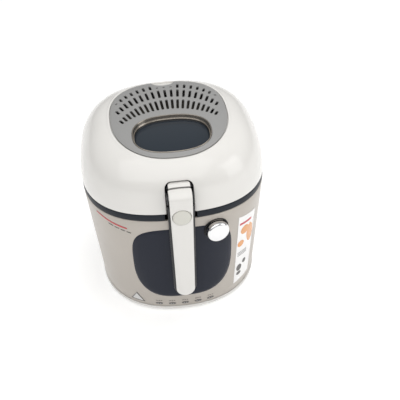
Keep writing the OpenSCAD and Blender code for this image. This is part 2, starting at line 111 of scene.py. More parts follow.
def outline(half_w, half_d, square, count=256, middle=(0.0, 0.0)):
    """Points of a rounded square, anticlockwise from the right."""
    t = np.arange(count) * 2 * math.pi / count
    x = half_w * signed_pow(np.cos(t), 2 / square) + middle[0]
    y = half_d * signed_pow(np.sin(t), 2 / square) + middle[1]
    return np.column_stack([x, y])


def even(loop, step):
    """The same closed loop with its points about step apart."""
    ends = np.vstack([loop, loop[:1]])
    run = np.concatenate([[0], np.cumsum(np.linalg.norm(np.diff(ends, axis=0), axis=1))])
    at = np.linspace(0, run[-1], max(8, int(run[-1] / step)), endpoint=False)
    return np.column_stack([np.interp(at, run, ends[:, k]) for k in range(loop.shape[1])])


def dome(r):
    """Height of the lid's surface at r, the share of the way from its middle to its edge."""
    r = np.clip(r, 0, 1)
    return LID_BASE + (LID_H - LID_CROWN) * (1 - r ** 6) ** (1 / 2.2) + LID_CROWN * (1 - r * r)


def share(x, y):
    return (np.abs(x / HALF) ** SQUARE_TOP + np.abs(y / HALF) ** SQUARE_TOP) ** (1 / SQUARE_TOP)


def dome_at(x, y):
    return dome(share(x, y))


R_TABLE = 1 - (1 - np.linspace(0, 1, 4001)) ** 2.2  # dense near the edge, where the wall is steep
Z_TABLE = dome(R_TABLE)
S_TABLE = np.concatenate([[0], np.cumsum(np.hypot(np.diff(R_TABLE) * HALF, np.diff(Z_TABLE)))])


def unroll(x, y, r=None):
    """Flat coordinates of a point on the lid: its direction, times the distance along the surface."""
    r = share(x, y) if r is None else r
    s = np.interp(r, R_TABLE, S_TABLE)
    return np.column_stack([x / HALF / r * s, y / HALF / r * s])


def cover_share(x, y):
    reach = np.where(y < 0, COVER_FRONT, COVER_REAR)
    n = COVER_SQUARE
    return (np.abs(x / COVER_HALF_W) ** n + np.abs(y / reach) ** n) ** (1 / n)


def cover_outline(grow, count=320):
    loop = outline(COVER_HALF_W + grow, 1.0, COVER_SQUARE, count)
    loop[:, 1] *= np.where(loop[:, 1] < 0, COVER_FRONT + grow, COVER_REAR + grow)
    return loop


def lid_surface(q):
    """The lid's outer surface over its flat coordinates, with a soft ridge round the filter cover."""
    s = (np.abs(q[:, 0]) ** SQUARE_TOP + np.abs(q[:, 1]) ** SQUARE_TOP) ** (1 / SQUARE_TOP)
    s = np.maximum(s, 1e-9)
    r = np.interp(s, S_TABLE, R_TABLE)
    x = HALF * r * q[:, 0] / s
    y = HALF * r * q[:, 1] / s
    away = (cover_share(x, y) - 1) * 90 * MM
    ridge = 0.7 * MM * np.exp(-((away - 2.6 * MM) / (1.5 * MM)) ** 2)
    return np.column_stack([x, y, dome(r) + ridge])


def over_dome(lift):
    """The lid's form as a height over x and y, lifted by lift."""
    return lambda q: np.column_stack([q[:, 0], q[:, 1], dome_at(q[:, 0], q[:, 1]) + lift])


def rise(z):
    return (z - BASE_TOP) / (CASING_TOP - BASE_TOP)


def casing_scale(z):
    return FOOT_SCALE + (1 - FOOT_SCALE) * rise(z)


def casing_square(z):
    return SQUARE_BASE + (SQUARE_TOP - SQUARE_BASE) * rise(z)


def front_wall(lift):
    """The casing's front as a surface over x and z, lifted by lift."""
    def place(q):
        x, z = q[:, 0], q[:, 1]
        half = HALF * casing_scale(z) + lift
        n = casing_square(z)
        y = -half * np.maximum(1 - np.abs(x / half) ** n, 1e-6) ** (1 / n)
        return np.column_stack([x, y, z])
    return place


# --- mesh tools
def finish_mesh(name, verts, faces, material, body, replaces, sharp):
    """Makes the object, marks its sharp edges, and fixes it to its body."""
    mesh = bpy.data.meshes.new(name)
    mesh.from_pydata([tuple(v) for v in verts], [], faces)
    mesh.validate()
    bm = bmesh.new()
    bm.from_mesh(mesh)
    bmesh.ops.remove_doubles(bm, verts=bm.verts, dist=1e-7)
    bmesh.ops.recalc_face_normals(bm, faces=bm.faces)
    limit = math.radians(sharp)
    for face in bm.faces:
        face.smooth = True
    for edge in bm.edges:
        edge.smooth = len(edge.link_faces) != 2 or edge.calc_face_angle(0) < limit
    bm.to_mesh(mesh)
    bm.free()
    obj = bpy.data.objects.new(name, mesh)
    bpy.context.scene.collection.objects.link(obj)
    mesh.materials.append(material)
    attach(obj, body)
    if replaces:
        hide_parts(*replaces)


def inside(points, loop):
    """Which points lie inside a closed loop."""
    hit = np.zeros(len(points), bool)
    ends = np.roll(loop, -1, axis=0)
    for (x0, y0), (x1, y1) in zip(loop, ends):
        if y0 == y1:
            continue
        crosses = (points[:, 1] > min(y0, y1)) & (points[:, 1] <= max(y0, y1))
        hit ^= crosses & (points[:, 0] < x0 + (points[:, 1] - y0) * (x1 - x0) / (y1 - y0))
    return hit


def distances(points, others):
    """How far each point lies from the nearest of the others."""
    tree = KDTree(len(others))
    for k, p in enumerate(others):
        tree.insert((p[0], p[1], 0), k)
    tree.balance()
    return np.array([tree.find((p[0], p[1], 0))[2] for p in points])


def area(loop):
    """Area inside a closed loop, positive when the loop runs anticlockwise."""
    ahead = np.roll(loop, -1, axis=0)
    return 0.5 * np.sum(loop[:, 0] * ahead[:, 1] - ahead[:, 0] * loop[:, 1])


def offset(loop, distance):
    """An anticlockwise loop moved outwards by distance."""
    along = np.roll(loop, -1, axis=0) - np.roll(loop, 1, axis=0)
    out = np.column_stack([along[:, 1], -along[:, 0]])
    return loop + distance * out / np.maximum(np.linalg.norm(out, axis=1, keepdims=True), 1e-12)


def normals(place, q):
    h = 0.05 * MM
    du = place(q + [h, 0]) - place(q - [h, 0])
    dv = place(q + [0, h]) - place(q - [0, h])
    n = np.cross(du, dv)
    return n / np.maximum(np.linalg.norm(n, axis=1, keepdims=True), 1e-15)


def skin(boundary, holes, place, spacing, depth, edge, extra=None, facing_out=1, steps=3):
    """A sheet of thickness depth over a surface, with its outline and holes rounded over by edge.

    boundary and holes are loops in the flat coordinates that place() takes, and extra is more points there.
    Returns vertices and faces.
    """
    loops = [boundary if area(boundary) > 0 else boundary[::-1]]
    loops += [h if area(h) > 0 else h[::-1] for h in holes]
    loops = [offset(loop, -edge if k == 0 else edge) for k, loop in enumerate(loops)]
    low, high = loops[0].min(0), loops[0].max(0)
    rows = np.arange(low[1], high[1], spacing * 0.87)
    fill = []
    for k, y in enumerate(rows):
        x = np.arange(low[0] + (k % 2) * spacing / 2, high[0], spacing)
        fill.append(np.column_stack([x, np.full(len(x), y)]))
    fill = np.vstack(fill)
    if extra is not None:
        fill = np.vstack([fill[distances(fill, extra) > 0.6 * spacing], extra])
    keep = inside(fill, loops[0])
    for hole in loops[1:]:
        keep &= ~inside(fill, hole)
    fill = fill[keep]
    fixed = np.vstack(loops)
    fill = fill[distances(fill, fixed) > min(0.55 * spacing, 1.2 * MM)]
    points = np.vstack([fixed, fill])
    edges, first = [], 0
    for loop in loops:
        n = len(loop)
        edges += [(first + i, first + (i + 1) % n) for i in range(n)]
        first += n
    made = delaunay_2d_cdt([Vector(p) * 1000 for p in points.tolist()], edges, [], 0, 1e-6)
    flat = np.array([tuple(v) for v in made[0]]) / 1000
    new_index = {}
    for k, sources in enumerate(made[3]):
        for source in sources:
            new_index[source] = k
    tris = np.array([f for f in made[2] if len(f) == 3])
    centre = flat[tris].mean(1)
    keep = inside(centre, loops[0])
    for hole in loops[1:]:
        keep &= ~inside(centre, hole)
    tris = tris[keep]
    p = place(flat)
    n = normals(place, flat) * facing_out
    count = len(p)
    verts = [p, p - n * depth]
    faces = [tuple(t) for t in tris] + [tuple(t[::-1] + count) for t in tris]
    total, first = 2 * count, 0
    for k, loop in enumerate(loops):
        size = len(loop)
        ids = [new_index[first + i] for i in range(size)]
        first += size
        rim, up = p[ids], n[ids]
        along = np.roll(rim, -1, axis=0) - np.roll(rim, 1, axis=0)
        side = np.cross(along, up) * (1 if k == 0 else -1) * facing_out
        side /= np.maximum(np.linalg.norm(side, axis=1, keepdims=True), 1e-15)
        rings = [ids]
        for step in range(1, steps + 1):
            turn = math.pi / 2 * step / steps
            verts.append(rim + side * edge * math.sin(turn) - up * edge * (1 - math.cos(turn)))
            rings.append(list(range(total, total + size)))
            total += size
        verts.append(rim + side * edge - up * depth)
        rings.append(list(range(total, total + size)))
        total += size
        rings.append([i + count for i in ids])
        for a, b in zip(rings, rings[1:]):
            for i in range(size):
                j = (i + 1) % size
                faces.append((a[i], a[j], b[j], b[i]))
    return np.vstack(verts), faces


def sweep(profile, ring_at, closed=True, slot_half=None, count=256):
    """Sweeps a closed profile round a loop: ring_at(profile point) gives one ring of points.

    With slot_half, the front stretch narrower than that to each side is left out and its ends are capped.
    """
    rings = [ring_at(p) for p in profile]
    n = len(rings[0])
    keep = list(range(n))
    if slot_half is not None:
        start = [i for i in range(n) if rings[0][i][1] < 0 and abs(rings[0][i][0]) < slot_half]
        keep = [(start[-1] + 1 + i) % n for i in range(n - len(start))]
    size = len(keep)
    verts = np.vstack([np.asarray(ring)[keep] for ring in rings])
    faces = []
    around = size if slot_half is None else size - 1
    pairs = list(zip(range(len(rings)), list(range(1, len(rings))) + [0]))
    for a, b in pairs if closed else pairs[:-1]:
        for i in range(around):
            j = (i + 1) % size
            faces.append((a * size + i, a * size + j, b * size + j, b * size + i))
    if slot_half is not None:
        faces.append(tuple(k * size for k in range(len(rings))))
        faces.append(tuple(k * size + size - 1 for k in reversed(range(len(rings)))))
    return verts, faces


def rounded(corners, radius, steps=3):
    """A closed profile with its corners rounded: corners are (offset, height) pairs, anticlockwise."""
    points = []
    n = len(corners)
    for k in range(n):
        before, here, after = (np.array(corners[(k + d) % n], float) for d in (-1, 0, 1))
        a, b = before - here, after - here
        cut = min(radius, 0.45 * np.linalg.norm(a), 0.45 * np.linalg.norm(b))
        start, end = here + a / np.linalg.norm(a) * cut, here + b / np.linalg.norm(b) * cut
        for t in np.linspace(0, 1, steps + 1):
            points.append((1 - t) ** 2 * start + 2 * t * (1 - t) * here + t * t * end)
    return points


def casing_ring(p, count=256):
    """Ring round the casing's outline at height p[1], p[0] further out."""
    half = HALF * casing_scale(p[1]) + p[0]
    loop = outline(half, half, casing_square(p[1]), count)
    return np.column_stack([loop, np.full(count, p[1])])


def top_ring(square=SQUARE_TOP, count=256):
    """Rings of the top outline at half width p[0] and height p[1]."""
    def at(p):
        return np.column_stack([outline(p[0], p[0], square, count), np.full(count, p[1])])
    return at


def lathe(profile, origin, axis, count=96):
    """Turns (radius, height) pairs round an axis; the first and last are closed by caps where radius is 0."""
    z = Vector(axis).normalized()
    x = z.orthogonal().normalized()
    y = z.cross(x)
    turn = Matrix((x, y, z)).transposed()
    verts, faces = [], []
    for r, h in profile:
        for k in range(count):
            a = 2 * math.pi * k / count
            verts.append(Vector(origin) + turn @ Vector((r * math.cos(a), r * math.sin(a), h)))
    for k in range(len(profile) - 1):
        for i in range(count):
            j = (i + 1) % count
            faces.append((k * count + i, k * count + j, (k + 1) * count + j, (k + 1) * count + i))
    return verts, faces


def tube(points, radius, closed=False, sides=8):
    """A round wire along points."""
    pts = np.array(points, float)
    n = len(pts)
    verts, faces = [], []
    for k in range(n):
        if closed:
            way = pts[(k + 1) % n] - pts[k - 1]
        else:
            way = pts[min(k + 1, n - 1)] - pts[max(k - 1, 0)]
        way = Vector(way).normalized()
        side = way.cross(Vector((0.13, 0.21, 0.97))).normalized()
        up = way.cross(side)
        for a in range(sides):
            t = 2 * math.pi * a / sides
            verts.append(Vector(pts[k]) + radius * (side * math.cos(t) + up * math.sin(t)))
    for k in range(n if closed else n - 1):
        for a in range(sides):
            i, j = k * sides, ((k + 1) % n) * sides
            b = (a + 1) % sides
            faces.append((i + a, i + b, j + b, j + a))
    if not closed:
        faces.append(tuple(range(sides))[::-1])
        faces.append(tuple(range((n - 1) * sides, n * sides)))
    return verts, faces


def joined(parts):
    verts, faces = [], []
    for v, f in parts:
        base = len(verts)
        verts += [tuple(p) for p in v]
        faces += [tuple(i + base for i in face) for face in f]
    return verts, faces


# --- materials
def shader(name):
    material = bpy.data.materials.new(name)
    material.use_nodes = True
    return material, material.node_tree, material.node_tree.nodes["Principled BSDF"]


def link(tree, a, b):
    tree.links.new(a, b)


def noise(tree, scale, detail=4.0, rough=0.55, stretch=None):
    """A noise texture in object coordinates, scale in features per metre."""
    coord = tree.nodes.new("ShaderNodeTexCoord")
    tex = tree.nodes.new("ShaderNodeTexNoise")
    tex.inputs["Scale"].default_value = scale
    tex.inputs["Detail"].default_value = detail
    tex.inputs["Roughness"].default_value = rough
    if stretch:
        mapping = tree.nodes.new("ShaderNodeMapping")
        mapping.inputs["Scale"].default_value = stretch
        link(tree, coord.outputs["Object"], mapping.inputs["Vector"])
        link(tree, mapping.outputs["Vector"], tex.inputs["Vector"])
    else:
        link(tree, coord.outputs["Object"], tex.inputs["Vector"])
    return tex


def ramp(tree, source, low, high):
    node = tree.nodes.new("ShaderNodeMapRange")
    node.inputs["From Min"].default_value = 0.3
    node.inputs["From Max"].default_value = 0.7
    node.inputs["To Min"].default_value = low
    node.inputs["To Max"].default_value = high
    link(tree, source, node.inputs["Value"])
    return node.outputs["Result"]


def tint(tree, source, first, second):
    node = tree.nodes.new("ShaderNodeMix")
    node.data_type = "RGBA"
    node.inputs["A"].default_value = (*first, 1)
    node.inputs["B"].default_value = (*second, 1)
    link(tree, source, node.inputs["Factor"])
    return node.outputs["Result"]


def bump(tree, bsdf, source, strength, distance):
    node = tree.nodes.new("ShaderNodeBump")
    node.inputs["Strength"].default_value = strength
    node.inputs["Distance"].default_value = distance
    link(tree, source, node.inputs["Height"])
    link(tree, node.outputs["Normal"], bsdf.inputs["Normal"])


def surface(name, colour, rough, metal=0.0, spread=0.06, grain=2500, grain_depth=0.02, coat=0.0,
            coat_rough=0.05, specular=0.5, stretch=None, shift=0.04):
    """A moulded, painted or metal surface: cloudy roughness, a fine grain, and a slight drift of colour."""
    material, tree, bsdf = shader(name)
    bsdf.inputs["Metallic"].default_value = metal
    bsdf.inputs["Specular IOR Level"].default_value = specular
    bsdf.inputs["Coat Weight"].default_value = coat
    bsdf.inputs["Coat Roughness"].default_value = coat_rough
    broad = noise(tree, 14, 3.0)
    fine = noise(tree, grain, 2.0, stretch=stretch)
    roughness = ramp(tree, broad.outputs["Fac"], max(rough - spread, 0.02), rough + spread)
    link(tree, roughness, bsdf.inputs["Roughness"])
    darker = tuple(c * (1 - shift) for c in colour)
    link(tree, tint(tree, broad.outputs["Fac"], colour, darker), bsdf.inputs["Base Color"])
    bump(tree, bsdf, fine.outputs["Fac"], 0.35, grain_depth * MM)
    return material


def flake_paint(name, colour):
    """Champagne-grey metallic paint: fine bright flakes under a satin coat."""
    material, tree, bsdf = shader(name)
    bsdf.inputs["Metallic"].default_value = 0.35
    bsdf.inputs["Coat Weight"].default_value = 0.25
    bsdf.inputs["Coat Roughness"].default_value = 0.25
    flakes = noise(tree, 3500, 2.0, 0.7)
    broad = noise(tree, 9, 3.0)
    bright = tuple(min(c * 1.09, 1) for c in colour)
    dark = tuple(c * 0.93 for c in colour)
    link(tree, tint(tree, flakes.outputs["Fac"], dark, bright), bsdf.inputs["Base Color"])
    link(tree, ramp(tree, broad.outputs["Fac"], 0.36, 0.46), bsdf.inputs["Roughness"])
    bump(tree, bsdf, flakes.outputs["Fac"], 0.25, 0.012 * MM)
    return material


def smoked_glass(name, colour, clear):
    material, tree, bsdf = shader(name)
    bsdf.inputs["Base Color"].default_value = (*colour, 1)
    bsdf.inputs["IOR"].default_value = 1.5
    bsdf.inputs["Transmission Weight"].default_value = clear
    bsdf.inputs["Coat Weight"].default_value = 0.1
    bsdf.inputs["Specular IOR Level"].default_value = 0.22
    broad = noise(tree, 30, 3.0)
    link(tree, ramp(tree, broad.outputs["Fac"], 0.04, 0.09), bsdf.inputs["Roughness"])
    bump(tree, bsdf, broad.outputs["Fac"], 0.05, 0.02 * MM)
    return material


def mesh_filter(name):
    """Layers of fine metal mesh: a woven bump over warm grey."""
    material, tree, bsdf = shader(name)
    bsdf.inputs["Metallic"].default_value = 0.5
    coord = tree.nodes.new("ShaderNodeTexCoord")
    waves = []
    for direction in ("X", "Y"):
        wave = tree.nodes.new("ShaderNodeTexWave")
        wave.bands_direction = direction
        wave.inputs["Scale"].default_value = 160
        wave.inputs["Distortion"].default_value = 0.6
        link(tree, coord.outputs["Object"], wave.inputs["Vector"])
        waves.append(wave.outputs["Fac"])
    both = tree.nodes.new("ShaderNodeMath")
    both.operation = "MAXIMUM"
    link(tree, waves[0], both.inputs[0])
    link(tree, waves[1], both.inputs[1])
    colour = tint(tree, both.outputs["Value"], (0.014, 0.012, 0.010), (0.24, 0.22, 0.185))
    link(tree, colour, bsdf.inputs["Base Color"])
    link(tree, ramp(tree, both.outputs["Value"], 0.6, 0.35), bsdf.inputs["Roughness"])
    bump(tree, bsdf, both.outputs["Value"], 0.8, 0.3 * MM)
    return material


BRUSHED = (1.0, 1.0, 0.03)          # stretches the grain upwards
ROLLED = (0.02, 1.0, 1.0)           # stretches the grain sideways
SURFACES = {                        # colour, roughness, and what else surface() takes
    "white_gloss": ((0.70, 0.685, 0.655), 0.2, dict(grain=1800, grain_depth=0.006, coat=0.35,
        coat_rough=0.07, shift=0.015)),
    "base_white": ((0.68, 0.665, 0.64), 0.3, dict(grain_depth=0.01, shift=0.02)),
    "anthracite": ((0.010, 0.0135, 0.020), 0.42, dict(grain_depth=0.02, shift=0.1, specular=0.2)),
    "panel_gloss": ((0.013, 0.016, 0.027), 0.16, dict(grain=900, grain_depth=0.004, coat=0.03,
        coat_rough=0.03, shift=0.08, spread=0.03, specular=0.14)),
    "black_plastic": ((0.012, 0.012, 0.014), 0.4, dict(grain=1600, grain_depth=0.05, shift=0.15)),
    "rubber": ((0.035, 0.035, 0.036), 0.72, dict(grain=900, grain_depth=0.08, specular=0.3, shift=0.2)),
    "seal": ((0.07, 0.07, 0.072), 0.55, dict(grain=700, grain_depth=0.05, shift=0.15)),
    "print_red": ((0.55, 0.05, 0.06), 0.35, dict(grain=3000, grain_depth=0.01, shift=0.12)),
    "label_white": ((0.83, 0.82, 0.81), 0.22, dict(grain=500, grain_depth=0.02, coat=0.3, shift=0.03)),
    "label_orange": ((0.78, 0.33, 0.09), 0.25, dict(grain=300, grain_depth=0.02, coat=0.3, shift=0.3)),
    "print_grey": ((0.13, 0.125, 0.12), 0.45, dict(grain=3000, grain_depth=0.01, shift=0.2)),
    "print_silver": ((0.62, 0.61, 0.60), 0.35, dict(grain=3000, grain_depth=0.01, shift=0.08)),
    "nonstick": ((0.03, 0.03, 0.033), 0.42, dict(grain=1500, grain_depth=0.06, shift=0.5)),
    "sheet_steel": ((0.56, 0.56, 0.57), 0.28, dict(metal=1.0, grain=1200, grain_depth=0.02, stretch=ROLLED)),
    "heater_steel": ((0.19, 0.17, 0.15), 0.45, dict(metal=0.9, grain=600, shift=0.4)),
    "aluminium": ((0.70, 0.70, 0.71), 0.35, dict(metal=1.0, grain=1200, stretch=BRUSHED)),
    "copper": ((0.72, 0.36, 0.20), 0.3, dict(metal=1.0, grain=900, shift=0.3)),
    "ceramic": ((0.80, 0.78, 0.72), 0.3, dict(grain=1200, coat=0.3)),
    "wire_red": ((0.50, 0.05, 0.045), 0.5, dict(grain=1500, grain_depth=0.04)),
    "screw_steel": ((0.50, 0.50, 0.52), 0.3, dict(metal=1.0, grain=2500, grain_depth=0.01, shift=0.15)),
    "frame_metal": ((0.42, 0.38, 0.33), 0.22, dict(metal=0.9, grain=1500, grain_depth=0.01, shift=0.15)),
    "cover_grey": ((0.30, 0.298, 0.292), 0.38, dict(metal=0.15, grain=2200, grain_depth=0.02, shift=0.04)),
    "tinned_wire": ((0.72, 0.72, 0.73), 0.22, dict(metal=1.0, grain=1500, shift=0.1)),
    "button_grey": ((0.60, 0.59, 0.535), 0.3, dict(grain=1600, grain_depth=0.008, shift=0.02)),
    "chrome": ((0.76, 0.76, 0.765), 0.06, dict(metal=1.0, spread=0.02, grain=400, grain_depth=0.0002,
        shift=0.02)),
}
MATERIALS = {name: surface(name, colour, rough, **more) for name, (colour, rough, more) in SURFACES.items()}
MATERIALS.update({
    "casing_champagne": flake_paint("casing_champagne", (0.42, 0.385, 0.345)),
    "smoked_glass": smoked_glass("smoked_glass", (0.020, 0.027, 0.036), 0.0),
    "clear_glass": smoked_glass("clear_glass", (0.80, 0.84, 0.84), 0.9),
    "filter_grey": mesh_filter("filter_grey"),
})

SLOT_OF = {s["node"]: s["material_slot"] for s in frame["record"]["subparts"]}
BODY_OF = {n: b for b, nodes in frame["record"]["behaviour"]["bodies"].items() for n in nodes}


def dress_cad_nodes():
    """Every CAD node gets its slot's material and smooth shading with its sharp edges kept."""
    smooth = bpy.data.node_groups.new("shade_smooth", "GeometryNodeTree")
    smooth.interface.new_socket("Geometry", in_out="INPUT", socket_type="NodeSocketGeometry")
    smooth.interface.new_socket("Geometry", in_out="OUTPUT", socket_type="NodeSocketGeometry")
    start = smooth.nodes.new("NodeGroupInput")
    shade = smooth.nodes.new("GeometryNodeSetShadeSmooth")
    end = smooth.nodes.new("NodeGroupOutput")
    link(smooth, start.outputs[0], shade.inputs["Geometry"])
    link(smooth, shade.outputs["Geometry"], end.inputs[0])
    for name, obj in frame["nodes"].items():
        mesh = obj.data
        mesh.materials.clear()
        mesh.materials.append(MATERIALS[SLOT_OF[name]])
        obj.modifiers.new("shade_smooth", "NODES").node_group = smooth
        split = obj.modifiers.new("sharp_edges", "EDGE_SPLIT")
        split.split_angle = math.radians(32)


def soften(node, width):
    """Rounds the sharp edges of a CAD node that stays visible."""
    obj = frame["nodes"][node]
    bevel = obj.modifiers.new("soft_edges", "BEVEL")
    bevel.width = width
    bevel.segments = 2
    bevel.limit_method = "ANGLE"
    bevel.angle_limit = math.radians(40)
    bevel.harden_normals = True
    while obj.modifiers[0] != bevel:
        obj.modifiers.move(len(obj.modifiers) - 1, 0)


def add(name, geometry, node, replaces=None, slot=None, sharp=38.0):
    """Adds a piece of a CAD node, on that node's body, with its slot and in its place unless told otherwise."""
    verts, faces = geometry
    slot = slot or SLOT_OF[node]
    replaces = (node,) if replaces is None else replaces
    finish_mesh(name, verts, faces, MATERIALS[slot], BODY_OF[node], replaces, sharp)


# --- the casing
def make_casing():
    wall = 2.5 * MM
    z = np.linspace(BASE_TOP + 0.8 * MM, CASING_TOP - 0.8 * MM, 14)
    outside = [(0.0, h) for h in z]
    lip = [(-0.25 * MM, CASING_TOP - 0.25 * MM), (-0.8 * MM, CASING_TOP)]
    inner = [(-wall, CASING_TOP), (-wall, BASE_TOP)]
    foot = [(-0.8 * MM, BASE_TOP), (-0.25 * MM, BASE_TOP + 0.25 * MM)]
    add("outer_casing_wall", sweep(outside + lip + inner + foot, casing_ring), "outer_casing")


def make_base():
    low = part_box("base_plate")[0].z
    top = BASE_TOP - 0.3 * MM
    heights = [low, low, low + 0.6 * MM, 4.5 * MM, 7 * MM, top - 0.6 * MM, top, top]
    scales = [0.0, 0.868, 0.884, 0.912, 0.926, 0.927, 0.922, 0.0]
    rings = list(zip(scales, heights))

    def at(p):
        half = max(HALF * p[0], 0.01 * MM)
        return np.column_stack([outline(half, half, SQUARE_BASE), np.full(256, p[1])])
    add("base_tray", sweep(rings, at, closed=False), "base_plate")


def make_ring():
    top = ring_high.z
    bottom = ring_low.z
    outer = HALF - 0.2 * MM
    back = outer - 6.8 * MM
    body = rounded([(back, bottom), (outer, bottom), (outer, top), (back, top)], 1.4 * MM)
    inner = 108.5 * MM
    inside_band = HALF - 6 * MM
    corners = [(inner, bottom), (inside_band, bottom), (inside_band, LEDGE_Z), (inner, LEDGE_Z)]
    ledge = rounded(corners, 0.6 * MM)
    parts = [sweep(body, top_ring(), slot_half=NOTCH_W), sweep(ledge, top_ring(), slot_half=NOTCH_W)]
    add("rim_ring_band", joined(parts), "rim_ring")


def panel_outline():
    """A soft square that narrows towards its foot."""
    half, middle_z, narrowing = 73 * MM, 108 * MM, 12 * MM
    t = np.arange(240) * 2 * math.pi / 240
    u = signed_pow(np.cos(t), 0.5)
    v = signed_pow(np.sin(t), 0.5)
    narrow = narrowing * np.minimum(v, 0) ** 2
    return even(np.column_stack([(half - narrow) * u, middle_z + half * v]), 2.2 * MM)


def make_panel():
    loop = panel_outline()

    def pillowed(q):
        """Flush at the rim, with a soft roll up to the glossy middle."""
        roll = np.clip(1 - distances(q, loop) / (10 * MM), 0, 1) ** 3
        flat = front_wall(1.0 * MM)(q)
        flat[:, 1] += roll * 0.9 * MM
        return flat
    geometry = skin(loop, [], pillowed, 3.2 * MM, 1.8 * MM, 0.9 * MM, steps=4)
    add("front_panel_skin", geometry, "front_panel")


def make_knob():
    axis = Vector((math.sin(KNOB_TURN), -math.cos(KNOB_TURN), 0))
    top, dome_r, edge = 13.7 * MM, 60 * MM, 4 * MM
    slope = math.asin((KNOB_R - edge) / (dome_r - edge))     # where the domed face meets the rolled edge
    edge_z = top - dome_r + (dome_r - edge) * math.cos(slope)
    cap = [(dome_r * math.sin(a), top - dome_r * (1 - math.cos(a))) for a in np.linspace(0.002, slope, 16)]
    cap += [(KNOB_R - edge + edge * math.sin(a), edge_z + edge * math.cos(a))
            for a in np.linspace(slope, math.pi / 2, 12)[1:]]
    cap += [(KNOB_R, 2.6 * MM)] + in_mm([(16.1, 2.0), (13.5, 2.0), (13.5, 10.5), (0.1, 10.5)])
    add("knob_chrome_cap", lathe(cap, KNOB, axis), "knob_cap")
    bezel = [(5.5, -4), (18.1, -4), (18.3, 1.2), (18.1, 2.0), (17.7, 2.2), (17.2, 1.9), (17.0, 1.2),
             (16.8, 0.6), (5.5, 0.6), (5.5, -4)]
    add("knob_seat_ring", lathe(in_mm(bezel), KNOB, axis), "knob_bezel")


def oval(x, z, rx, rz, count=24):
    t = np.arange(count) * 2 * math.pi / count
    return np.column_stack([x + rx * np.cos(t), z + rz * np.sin(t)])


def slab(x, z, w, h, lean=0.0):
    """Corners of a small bar, leaning by lean across its height."""
    left, right, low, high = x - w / 2, x + w / 2, z - h / 2, z + h / 2
    return [(left, low), (right, low + lean), (right, high + lean), (left, high)]


def print_group(name, node, loops, lift=PRINT, slot=None, replaces=None, step=1.0 * MM):
    """Thin raised fields on the casing's front; each loop holds (x, z) in mm."""
    parts = []
    for loop in loops:
        points = even(np.array(loop, float) * MM, step)
        parts.append(skin(points, [], front_wall(lift), 4 * MM, lift - 0.05 * MM, 0.08 * MM, steps=1))
    add(name, joined(parts), node, replaces=replaces, slot=slot)


def make_prints():
    # a plain red stroke and grey dashes on the upper left, where a mark was
    stroke = [(-116, 190.5), (-106, 187.6), (-96, 184.9), (-86, 182.5), (-76, 180.5),
              (-76, 178.4), (-86, 180.0), (-96, 182.3), (-106, 185.2), (-116, 188.6)]
    print_group("accent_stroke", "accent_stripe", [stroke])
    dashes = [slab(x, 178.3 - 0.24 * (x + 96), 6.0, 1.3, -1.4) for x in (-98, -90, -82, -74)]
    print_group("accent_dashes", "accent_stripe", dashes, slot="print_grey", replaces=())
    # label round the front right corner with plain coloured fields
    print_group("side_label_film", "side_label", [[(84, 172), (113, 164), (105, 29), (78, 26)]])
    fields = [oval(95, 139, 7, 8.5), oval(104, 124, 5.5, 20), oval(88.5, 113, 5.5, 6.5)]
    print_group("label_colour_fields", "label_blocks", fields, lift=PRINT + 0.25 * MM)
    bars = [slab(96, 156, 20, 4.0, -3.5)]
    print_group("label_top_bar", "label_blocks", bars, lift=PRINT + 0.25 * MM, slot="print_red", replaces=())
    rows = [slab(91.5, z, 16, 0.9, -1.6) for z in (94, 90.5, 87)]
    discs = [oval(87, 58, 4.5, 7.5), oval(86.5, 45, 4.0, 4.0), oval(96, 66, 3.0, 5.0)]
    print_group("label_grey_marks", "label_blocks", rows + discs, lift=PRINT + 0.25 * MM, slot="print_grey",
                replaces=())
    # five oval marks over the base and the blank triangle
    marks, centres = [], []
    for x in (-41, -21, -1, 19, 39):
        marks.append(oval(x, 18.5, 5.6, 2.1))
        marks += [slab(x + d, 25.0, 2.2, 0.9) for d in (-3.4, 0, 3.4)]
        centres += [oval(x - 1.7, 18.6, 0.8, 0.5, 12), oval(x + 1.7, 18.5, 0.8, 0.45, 12)]
    print_group("guide_ovals", "guide_marks", marks, step=0.8 * MM)
    print_group("guide_oval_centres", "guide_marks", centres, lift=PRINT + 0.2 * MM, slot="print_silver",
                replaces=(), step=0.5 * MM)
    print_group("blank_triangle", "warning_triangle", [[(-83, 18.5), (-63, 18.5), (-74, 36.5)]])
    edges = [[(-83, 18.5), (-63, 18.5), (-63.8, 19.7), (-81.4, 19.7)],
             [(-63, 18.5), (-74, 36.5), (-74.2, 34.6), (-64.2, 18.6)],
             [(-74, 36.5), (-83, 18.5), (-81.8, 18.6), (-74.1, 34.6)]]
    print_group("triangle_outline", "warning_triangle", edges, lift=PRINT + 0.2 * MM, slot="print_grey",
                replaces=())


